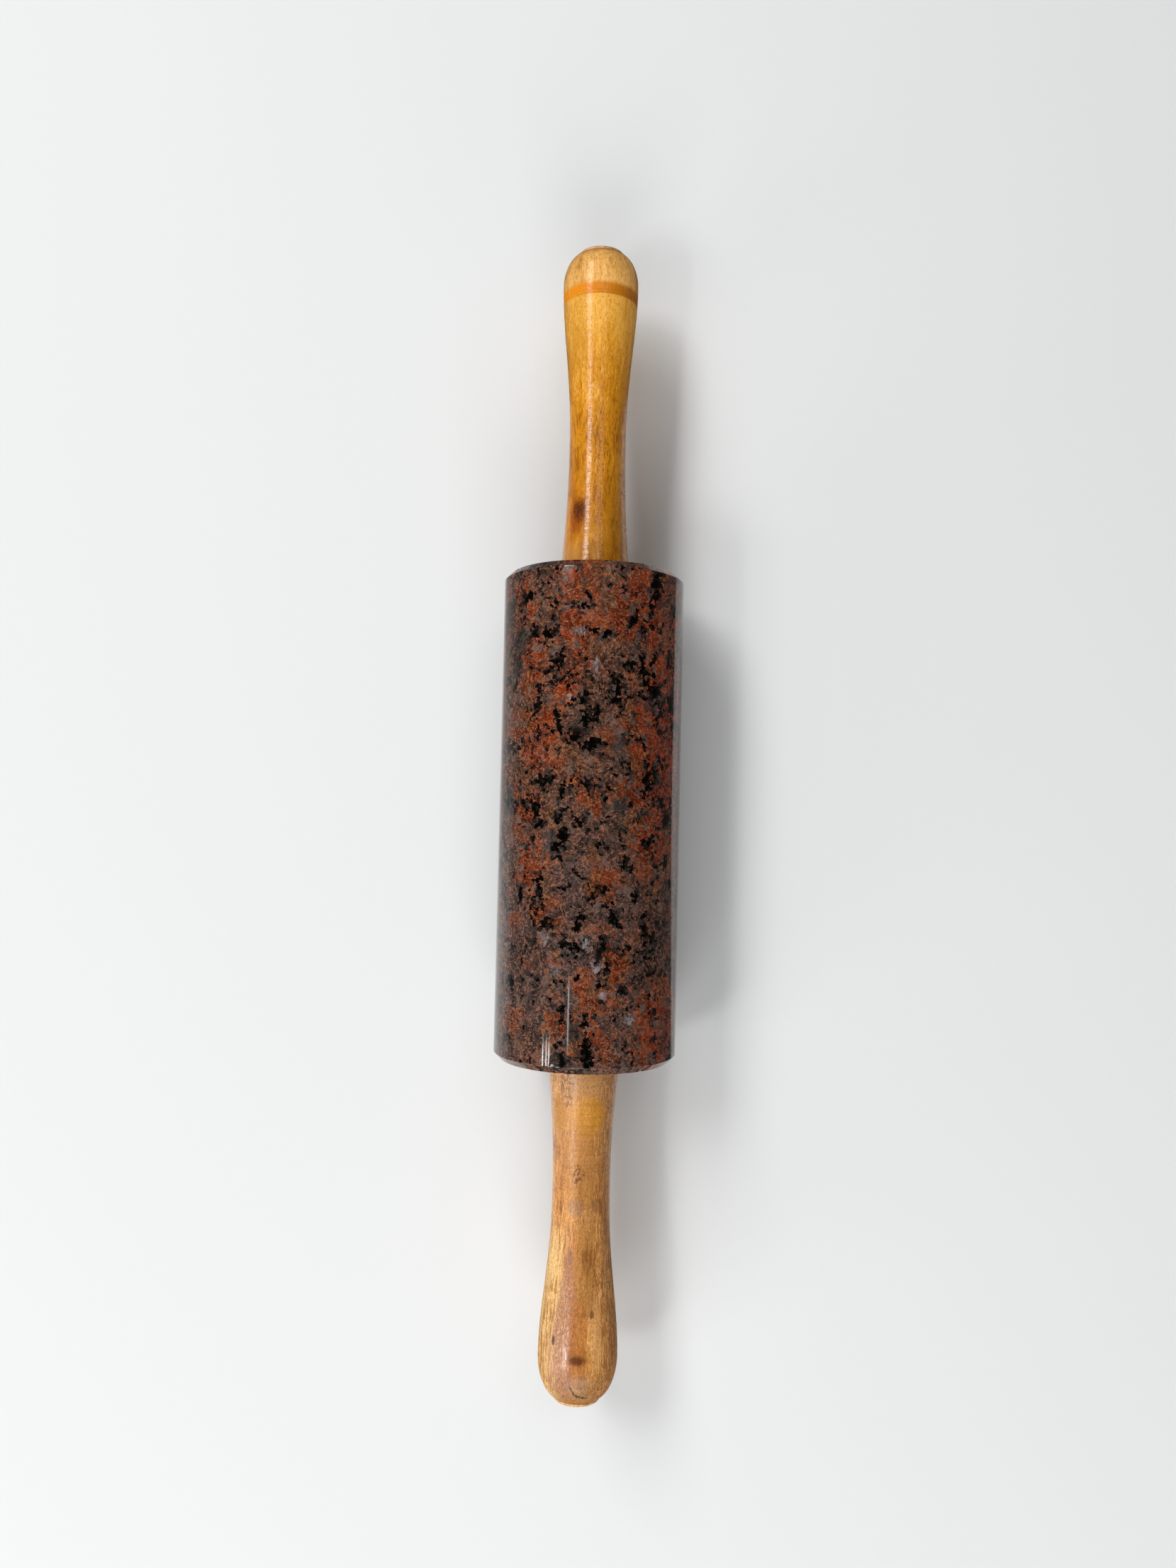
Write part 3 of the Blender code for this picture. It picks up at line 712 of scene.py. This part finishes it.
    # The sheen: satin, with one spot on the bulb rubbed glossy, and a thin coat near the root
    roughness = 0.32 + (streaks - 0.5) * 0.25 + (rings - 0.5) * 0.25 + pores * 0.1
    roughness = roughness - along.step(80.0, 87.0) * 0.09 + along.step(94.0, 99.0) * 0.14
    rubbed = (away_from(along, turn, 90.0, -17.0, 8.0, 10.0) + (streaks - 0.5) * 0.6).step(1.2, 0.8)
    roughness = (roughness - rubbed * 0.20).higher(0.07)
    s.set(Base_Color=colour, Roughness=roughness, IOR=1.48, Specular_IOR_Level=0.38)
    ridges = s.noise(s.vector(x * 0.08, y, z * 0.08), 4.0, 2.0, 0.6).step(0.34, 0.64)
    coat = along.step(46.0, 10.0) * (ridges + 0.3) * (fleck * 1.6 - 0.1)
    s.set(Coat_Weight=coat, Coat_Roughness=0.36, Coat_IOR=1.5)
    relief = fleck * 0.5 + rings * 0.5 - pores * 0.4 - lines * 0.3 - pitted * pits * 0.6 + streaks * 0.3
    s.bump(relief * (1.0 - rubbed * 0.85) - crack * 1.5, 0.00006)
    return s.material


def plug_wood_material():
    """Pale end-grain plugs under the same varnish."""
    s = Shader("pale_plug_wood", (0.68, 0.40, 0.20))
    p = s.position()
    x, y, z = p.parts()
    rings = s.noise(s.vector(x, z * 0.35, y * 0.1), 0.8, 3.0, 0.6)
    pores = s.noise(p, 4.5, 1.0).step(0.62, 0.72)
    colour = s.mix(rings.step(0.3, 0.7), (0.56, 0.27, 0.09), (0.86, 0.54, 0.25))
    colour = s.mix(pores * 0.5, colour, (0.36, 0.16, 0.05))
    s.set(Base_Color=colour, Roughness=0.38, IOR=1.48)
    s.bump(pores * -1.0, 0.00004)
    return s.material


def nylon_material():
    """Natural off-white nylon with faint moulding clouds."""
    s = Shader("natural_nylon", (0.80, 0.78, 0.72))
    p = s.position()
    cloud = s.noise(p, 0.5, 3.0)
    s.set(Base_Color=s.mix(cloud, (0.70, 0.68, 0.61), (0.84, 0.82, 0.76)), Roughness=0.42)
    s.bump(s.noise(p, 6.0, 2.0), 0.00002)
    return s.material


def steel_material():
    """Bright zinc-plated steel with turning marks round the axis."""
    s = Shader("zinc_plated_steel", (0.58, 0.58, 0.56))
    p = s.position()
    x, y, z = p.parts()
    radius = s.vector(x, 0.0, z).size()
    marks = s.noise(s.vector(radius * 6.0, y * 6.0, 0.0), 1.0, 3.0, 0.6)
    cloud = s.noise(p, 0.6, 2.0)
    colour = s.mix(cloud, (0.50, 0.50, 0.49), (0.68, 0.67, 0.63))
    s.set(Base_Color=colour, Roughness=0.22 + cloud * 0.16, Metallic=1.0)
    s.bump(marks, 0.00002)
    return s.material


MATERIALS = {
    "granite": granite_material(),
    "rear_wood": rear_wood_material(),
    "front_wood": front_wood_material(),
    "plug_wood": plug_wood_material(),
    "nylon": nylon_material(),
    "steel": steel_material(),
}


def place(piece, body, node, slot):
    """Fasten a fine surface to its body, let it stand for a solid and give it its material."""
    piece.data.materials.append(MATERIALS[slot])
    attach(piece, body)
    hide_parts(node)


def make_barrel():
    """The granite cylinder, with seats for the bushes, ground bevels, rounded edges and small chips.

    Half of the outline runs from the bore out over the end face, round the bevel and onto the side. The
    whole is that half's mirror image and then the half back again.
    """
    rounding = 0.00035
    ease = 0.0002
    inset = 0.0004
    face_ring = 0.020
    seat_floor = BARREL_END - FLANGE_SEAT_DEPTH
    bevel_start = BARREL_RADIUS - BARREL_BEVEL
    # The rounded edges are arcs that touch the face, the bevel at 45 degrees and the side
    reach = rounding * math.tan(math.radians(22.5))
    inner, outer = bevel_start - reach, BARREL_END - BARREL_BEVEL - reach
    face = [
        (seat_floor, BARREL_BORE),
        (seat_floor, FLANGE_SEAT_RADIUS),
        (BARREL_END - ease, FLANGE_SEAT_RADIUS),
        (BARREL_END, FLANGE_SEAT_RADIUS + ease),
        (BARREL_END, face_ring),
        (BARREL_END, inner - 0.0001),
    ]
    face += arc(BARREL_END - rounding, inner, rounding, 0.0, 45.0, 6)
    face += [(BARREL_END - inset, bevel_start + inset)]
    face += [(BARREL_END - BARREL_BEVEL + inset, BARREL_RADIUS - inset)]
    face += arc(outer, BARREL_RADIUS - rounding, rounding, 45.0, 45.0, 6)
    # Rings close beside the last rounded edge keep its shading off the side
    face += [(outer - away, BARREL_RADIUS) for away in (0.0001, 0.001, 0.002, 0.004)]
    outline = [(-along, radius) for along, radius in face] + face[::-1]

    def chips(along, radius, turns):
        """Small chips in the edges and the bevels, not in the side, where the relief is above 0.75."""
        chip_size, chip_depth, threshold, seed = 0.0022, 0.00016, 0.75, 3
        on_rim = radius > bevel_start - inset
        near_face = np.abs(along) > BARREL_END - BARREL_BEVEL - inset
        x, z = radius * np.sin(turns), radius * np.cos(turns)
        relief = waviness(np.stack([x, along, z], axis=-1), chip_size, seed)
        depth = (on_rim & near_face) * np.maximum(0.0, relief - threshold) * chip_depth
        return along - np.sign(along) * depth, radius - depth

    piece = turned_surface("polished_barrel", outline, BARREL_SIDES, 1, chips)
    place(piece, "barrel", "granite_barrel", "granite")


def make_handle(end):
    """A turned handle: an eased root edge, the neck, swell and dome, and the bores for axle and plug.

    The outline runs out over the root, along the side at handle_radius, and back through the counterbore.
    Over the last steps what is left before the tip shrinks as a square, as the dome is steepest there.
    """
    shape = HANDLES[end]
    ease = 0.0005
    mark_size, mark_depth, seed = 0.002, 0.00002, 8 + WAY_TO[end]
    to_go = 1.0 - np.arange(1, CLOSING_STEPS + 1) / CLOSING_STEPS
    even = np.arange(3, HANDLE_STEPS) * HANDLE_LENGTH / HANDLE_STEPS
    along = np.concatenate([even, HANDLE_LENGTH * (1.0 - to_go ** 2 / HANDLE_STEPS)])
    outline = [(HANDLE_ROOT, AXLE_HOLE), (HANDLE_ROOT, shape["root"] * 0.6)]
    outline += arc(HANDLE_ROOT + ease, shape["root"] - ease - mark_depth, ease, 180.0, -90.0, 5)
    outline += np.stack([HANDLE_ROOT + along, handle_radius(shape, along)], axis=-1).tolist()
    outline += [
        (HANDLE_END, COUNTERBORE_RADIUS),
        (HANDLE_END - COUNTERBORE_DEPTH, COUNTERBORE_RADIUS),
        (HANDLE_END - COUNTERBORE_DEPTH, AXLE_HOLE),
    ]

    def hand_turned(along, radius, turns):
        """Faint rings left by the gouge and the sandpaper, which lower the outside by 0.01 to 0.07 mm."""
        wave = waviness(np.stack([along * 0.0, along, along * 0.0], axis=-1), mark_size, seed)
        is_outside = radius > COUNTERBORE_RADIUS + 0.0005
        return along, radius - is_outside * mark_depth * (2.0 + np.clip(wave, -1.5, 1.5))

    piece = turned_surface(end + "_turned_handle", outline, HANDLE_SIDES, WAY_TO[end], hand_turned)
    place(piece, "handle_set", end + "_handle", end + "_wood")


def make_plug(end):
    """The wooden plug: a shank in the counterbore and a low head with a rounded edge."""
    shank_ease = 0.0004
    head_ease = 0.00015
    rounding = 0.0008
    head_ring = 0.004
    head_end = PLUG_HEAD_START + PLUG_HEAD_HEIGHT
    shank_start = PLUG_HEAD_START - PLUG_SHANK_LENGTH
    outline = [
        (shank_start, 0.0),
        (shank_start, PLUG_SHANK_RADIUS - shank_ease),
        (shank_start + shank_ease, PLUG_SHANK_RADIUS),
        (PLUG_HEAD_START, PLUG_SHANK_RADIUS),
        (PLUG_HEAD_START, PLUG_HEAD_RADIUS - head_ease),
        (PLUG_HEAD_START + head_ease, PLUG_HEAD_RADIUS),
    ]
    outline += arc(head_end - rounding, PLUG_HEAD_RADIUS - rounding, rounding, 0.0, 90.0, 10)[::-1]
    outline += [(head_end, head_ring), (head_end, 0.0)]
    piece = turned_surface(end + "_turned_plug", outline, SMALL_SIDES, WAY_TO[end])
    place(piece, "handle_set", end + "_end_plug", "plug_wood")


def make_bush(end):
    """The flanged bush: a bevelled lead-in, a shank, a flange with a rounded rim, and an eased bore."""
    bore_ease = 0.0003
    foot = 0.0002
    rounding = 0.0005
    lead_in_depth, lead_in_length = 0.0006, 0.0010
    outline = [
        (BUSH_START, BUSH_BORE + bore_ease),
        (BUSH_START, BUSH_SHANK_RADIUS - lead_in_depth),
        (BUSH_START + lead_in_length, BUSH_SHANK_RADIUS),
        (BUSH_FLANGE_START, BUSH_SHANK_RADIUS),
    ]
    outline += arc(BUSH_FLANGE_START + foot, BUSH_FLANGE_RADIUS - foot, foot, 180.0, -90.0, 4)
    outline += arc(BUSH_END - rounding, BUSH_FLANGE_RADIUS - rounding, rounding, 90.0, -90.0, 8)
    outline += [
        (BUSH_END, BUSH_BORE + bore_ease),
        (BUSH_END - bore_ease, BUSH_BORE),
        (BUSH_START + bore_ease, BUSH_BORE),
    ]
    piece = turned_surface(end + "_nylon_bush", outline, SMALL_SIDES, WAY_TO[end])
    place(piece, "barrel", end + "_bush", "nylon")


def make_washer(end):
    """The punched thrust washer: its rim is rolled on the barrel's side and nearly sharp on the other."""
    ease = 0.0001
    roll = 0.0003
    outline = [(WASHER_START + ease, AXLE_HOLE), (WASHER_START, AXLE_HOLE + ease)]
    outline += arc(WASHER_START + roll, WASHER_RADIUS - roll, roll, 180.0, -90.0, 6)
    outline += arc(WASHER_END - ease, WASHER_RADIUS - ease, ease, 90.0, -90.0, 3)
    outline += [(WASHER_END, AXLE_HOLE + ease), (WASHER_END - ease, AXLE_HOLE)]
    piece = turned_surface(end + "_steel_washer", outline, SMALL_SIDES, WAY_TO[end])
    place(piece, "handle_set", end + "_thrust_washer", "steel")


for end in WAY_TO:
    make_handle(end)
    make_plug(end)
    make_bush(end)
    make_washer(end)
make_barrel()

# Every solid gets its material too, also the ones that a fine surface stands for
for node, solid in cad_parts.items():
    slot = "steel"
    if node == "granite_barrel":
        slot = "granite"
    elif node.endswith("_handle"):
        slot = node.replace("_handle", "_wood")
    elif node.endswith("_plug"):
        slot = "plug_wood"
    elif node.endswith("_bush"):
        slot = "nylon"
    solid.data.materials.clear()
    solid.data.materials.append(MATERIALS[slot])


def make_floor():
    """A plain pale floor, one flat square.

    What the pin mirrors of it is pale near the pin and dark further away. Far from the pin, where the
    lamps no longer light it evenly, what the camera sees of it turns into the background.
    """
    reach = 3.0
    corners = [(-reach, -reach, 0.0), (reach, -reach, 0.0), (reach, reach, 0.0), (-reach, reach, 0.0)]
    mesh = bpy.data.meshes.new("floor")
    mesh.from_pydata(corners, [], [(0, 1, 2, 3)])
    floor = bpy.data.objects.new("floor", mesh)
    bpy.context.scene.collection.objects.link(floor)
    s = Shader("pale_floor", (0.72, 0.73, 0.73))
    x, y, _ = s.node("ShaderNodeTexCoord", {}, {}, "Object").parts()
    mirrored = s.node("ShaderNodeLightPath", {}, {}, "Is Glossy Ray")
    near = (x - y.lower(0.0) * 0.25).step(0.079, 0.074) * (y * y).step(0.024, 0.022)
    near = near * (x - y.higher(0.0) * 0.8).step(-0.24, -0.08)
    near = near * (1.0 - x.step(-0.045, -0.055) * y.step(-0.06, 0.02) * 0.45)
    shown = 1.0 - mirrored * (1.0 - near)
    s.set(Base_Color=s.mix(shown, (0.075, 0.078, 0.078), (0.775, 0.79, 0.79)), Roughness=0.7)
    far = (x * x + y * y).step(0.17, 0.50) * s.node("ShaderNodeLightPath", {}, {}, "Is Camera Ray")
    tone = s.node("ShaderNodeEmission", {}, {"Color": BACKGROUND, "Strength": BACKGROUND_LEVEL})
    lit = Term(s, s.surface.outputs["BSDF"])
    blended = s.node("ShaderNodeMixShader", {}, {0: far, 1: lit, 2: tone})
    s.feed(s.tree.nodes["Material Output"].inputs["Surface"], blended)
    mesh.materials.append(s.material)


def toward(azimuth, elevation):
    """A lamp's place at an azimuth (0 rear, 90 right, 180 front) and an elevation, in degrees.

    Its parts are the distance times cos e sin a, cos e cos a and sin e.
    """
    a, e = math.radians(azimuth), math.radians(elevation)
    way = Vector((math.cos(e) * math.sin(a), math.cos(e) * math.cos(a), math.sin(e)))
    return way * LAMP_DISTANCE


def over_axis(tilt, along):
    """A lamp's place at a tilt about the pin's axis (0 above, right positive) and a cosine along it.

    Its parts are the distance times s sin t, the cosine and s cos t, where s is the root of 1 less the
    cosine's square.
    """
    t = math.radians(tilt)
    across = math.sqrt(1.0 - along ** 2)
    return Vector((across * math.sin(t), along, across * math.cos(t))) * LAMP_DISTANCE


def make_lamp(name, spot, wide, long, level):
    """A rectangular lamp aimed at the pin, its length along the pin where that can be.

    Its level is the share of light that it gives the floor: the power is level * pi squared * distance
    squared, over the cosine at which its light falls on the floor.
    """
    data = bpy.data.lights.new(name, "AREA")
    data.shape = "RECTANGLE"
    data.size = wide
    data.size_y = long
    out = spot.normalized()
    data.energy = level * math.pi ** 2 * spot.length_squared / out.z
    length_way = Vector((0.0, 0.0, 1.0)) if abs(out.y) > 0.9 else Vector((0.0, 1.0, 0.0))
    length_way = (length_way - out * length_way.dot(out)).normalized()
    turned = Matrix((length_way.cross(out), length_way, out)).transposed().to_4x4()
    lamp = bpy.data.objects.new(name, data)
    lamp.matrix_world = Matrix.Translation(spot) @ turned
    bpy.context.scene.collection.objects.link(lamp)


def make_world():
    """Soft light from both ends of the room and little from its middle; the camera sees it all pale."""
    middle_level, end_level = 0.03, 0.12
    world = bpy.data.worlds.new("studio")
    bpy.context.scene.world = world
    world.use_nodes = True
    n = Nodes(world.node_tree)
    _, lengthwise, _ = n.node("ShaderNodeTexCoord", {}, {}, "Generated").parts()
    ends = n.node("ShaderNodeMath", {"operation": "ABSOLUTE"}, {0: lengthwise})
    glow = ends.step(0.26, 0.60) * (end_level - middle_level) + middle_level
    seen = n.node("ShaderNodeLightPath", {}, {}, "Is Camera Ray")
    back = n.tree.nodes["Background"]
    n.feed(back.inputs["Color"], BACKGROUND)
    n.feed(back.inputs["Strength"], glow + (BACKGROUND_LEVEL - glow) * seen)


def make_camera():
    """The photograph's view: from above, a little to the right of the axis."""
    data = bpy.data.cameras.new("camera")
    data.sensor_width = 36.0
    data.lens = 27.05
    data.clip_start = 0.01
    data.clip_end = 20.0
    camera = bpy.data.objects.new("camera", data)
    camera.location = (0.0233, -0.00406, 0.4231)
    camera.rotation_euler = (0.0387, 0.0601, 0.0223)
    bpy.context.scene.collection.objects.link(camera)
    bpy.context.scene.camera = camera


make_floor()
# Widths and lengths in metres. The levels add up to about 1, which renders a colour about as written
make_lamp("window_rear_left", toward(327, 41), 0.50, 0.95, 0.205)
make_lamp("ceiling_rear", toward(20, 58), 1.00, 1.00, 0.10)
make_lamp("window_front", toward(180, 36), 1.50, 0.90, 0.36)
make_lamp("window_left", over_axis(-28.7, -0.36), 0.14, 0.48, 0.06)
make_lamp("lamp_over_front_end", over_axis(-16.8, -0.182), 0.05, 0.12, 0.0045)
make_lamp("lamp_over_rear_handle", over_axis(-30.0, 0.37), 0.46, 0.50, 0.165)
make_lamp("lamp_over_front_handle", over_axis(-33.5, -0.41), 0.42, 0.40, 0.085)
for tilt in (-48.0, -43.5, -40.0):
    make_lamp("narrow_slit", over_axis(tilt, -0.24), 0.030, 0.12, 0.008)
make_lamp("low_window_left", toward(237, 16), 1.10, 0.80, 0.05)
make_world()
make_camera()
bpy.context.scene.view_settings.view_transform = "Standard"
